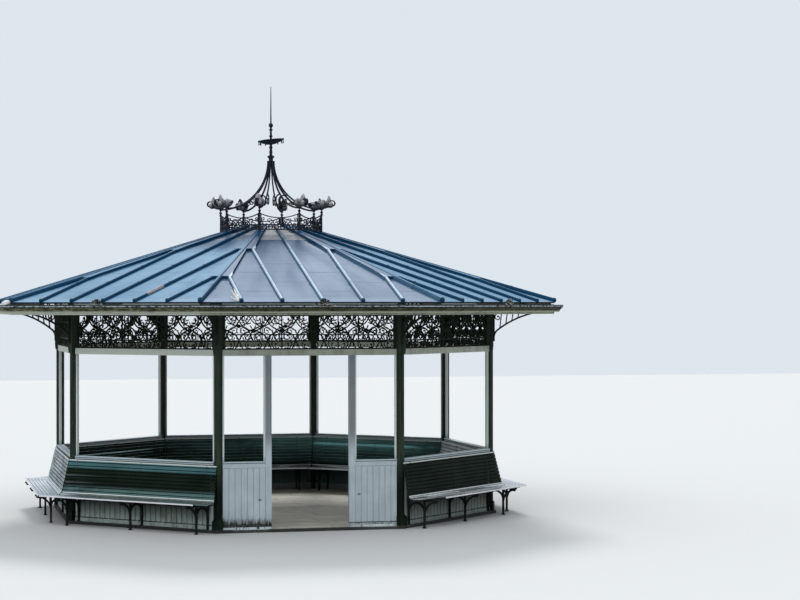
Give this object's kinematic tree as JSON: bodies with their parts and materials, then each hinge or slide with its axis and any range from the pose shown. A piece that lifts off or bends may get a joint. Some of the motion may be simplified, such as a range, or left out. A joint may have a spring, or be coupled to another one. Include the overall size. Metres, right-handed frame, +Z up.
{
  "type": "bandstand",
  "caption": "Octagonal park bandstand with dado walls, a doorway, slatted benches inside and out, a pierced frieze, a batten-roll roof and an open iron crown.",
  "frame": {"origin": "on the ground at the centre of the octagon", "axes": "+Z up; -Y out through the doorway; +X to the right of someone who faces the doorway from outside"},
  "size_m": [8.6418, 8.6418, 6.7501],
  "materials": {
    "floor_stone": "worn grey-brown stone",
    "green_paint": "dark green paint, browned by weather",
    "white_boarding": "dirty white paint on matchboard",
    "white_joinery": "off-white paint",
    "frieze_iron": "black-green paint",
    "roof_timber": "old sawn timber",
    "roof_metal": "dull blue-grey sheet",
    "roll_metal": "darker blue-grey sheet",
    "gutter_iron": "mossy brown-olive paint",
    "bench_slats": "dark green gloss paint, worn pale on the edges",
    "bench_iron": "black paint",
    "crown_iron": "blue-black paint with rust"
  },
  "bodies": {
    "root": {"floor": "floor_stone", "columns": "green_paint", "wall_front_right": "white_boarding", "wall_right": "white_boarding", "wall_rear_right": "white_boarding", "wall_rear": "white_boarding", "wall_rear_left": "white_boarding", "wall_left": "white_boarding", "wall_front_left": "white_boarding", "door_side_left": "white_boarding", "door_side_right": "white_boarding", "head_rails": "white_joinery", "window_beads": "white_joinery", "frieze_front": "frieze_iron", "frieze_front_right": "frieze_iron", "frieze_right": "frieze_iron", "frieze_rear_right": "frieze_iron", "frieze_rear": "frieze_iron", "frieze_rear_left": "frieze_iron", "frieze_left": "frieze_iron", "frieze_front_left": "frieze_iron", "eaves_beams": "white_joinery", "king_post": "roof_timber", "rafters": "roof_timber", "roof_boards": "roof_timber", "roof_sheets": "roof_metal", "hip_rolls": "roll_metal", "roof_cap": "roll_metal", "fascia": "white_joinery", "gutter": "gutter_iron", "brackets": "frieze_iron", "bench_front_right": "bench_slats", "bench_right": "bench_slats", "bench_rear_right": "bench_slats", "bench_rear": "bench_slats", "bench_rear_left": "bench_slats", "bench_left": "bench_slats", "bench_front_left": "bench_slats", "bench_irons": "bench_iron", "inner_benches": "bench_slats", "inner_bench_irons": "bench_iron", "crown_posts": "crown_iron", "crown_panels": "crown_iron", "crown_ribs": "crown_iron", "finial": "crown_iron"}
  },
  "joints": []
}
